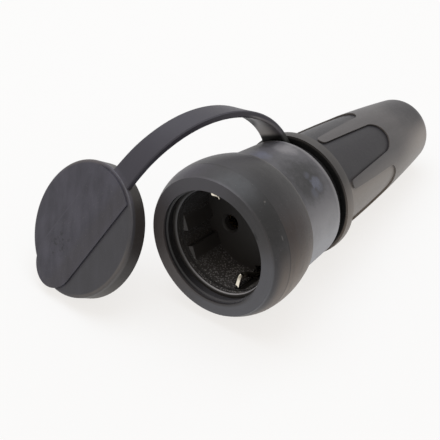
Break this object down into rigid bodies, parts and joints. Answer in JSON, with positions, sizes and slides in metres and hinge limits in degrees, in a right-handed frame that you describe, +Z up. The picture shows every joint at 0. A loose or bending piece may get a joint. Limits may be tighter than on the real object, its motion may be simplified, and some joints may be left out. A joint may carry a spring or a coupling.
{
  "type": "inline socket connector",
  "caption": "Round rubber inline socket for an earthed plug, with a scooped grip, a cord outlet at the tail and a tethered closing cap on a bent strap.",
  "frame": {"origin": "centre of the round mouth of the plug recess, on the coupling axis", "axes": "+Z up as it lies on a floor, +Y from the mouth towards the tail, cap on the -X side; the coupling axis sinks 6.77 degrees towards the tail"},
  "size_m": [0.1014, 0.1592, 0.0641],
  "materials": {
    "sleeve_rubber": "smooth matt",
    "grip_rubber": "smooth matt",
    "cap_rubber": "smooth matt",
    "insert_plastic": "moulded, low gloss",
    "carrier_plastic": "moulded, low gloss",
    "contact_brass": "drawn",
    "earth_brass": "stamped, nickel wash",
    "spring_steel": "bright",
    "screw_steel": "zinc plated"
  },
  "bodies": {
    "coupler": {"front_sleeve": "sleeve_rubber", "socket_insert": "insert_plastic", "contact_carrier": "carrier_plastic", "live_contact": "contact_brass", "neutral_contact": "contact_brass", "live_contact_spring": "spring_steel", "neutral_contact_spring": "spring_steel", "earth_bracket": "earth_brass", "earth_terminal": "contact_brass", "terminal_screws": "screw_steel", "carrier_screws": "screw_steel", "cord_clamp_bar": "carrier_plastic", "cord_clamp_screws": "screw_steel", "rear_grip": "grip_rubber"},
    "cap": {"strap_cap": "cap_rubber"}
  },
  "joints": [
    {"name": "cap_swivel", "type": "hinge", "parent": "coupler", "child": "cap", "pos_m": [0, 0.0421, -0.005], "axis": [0, 0.993, -0.1178], "continuous": true}
  ]
}
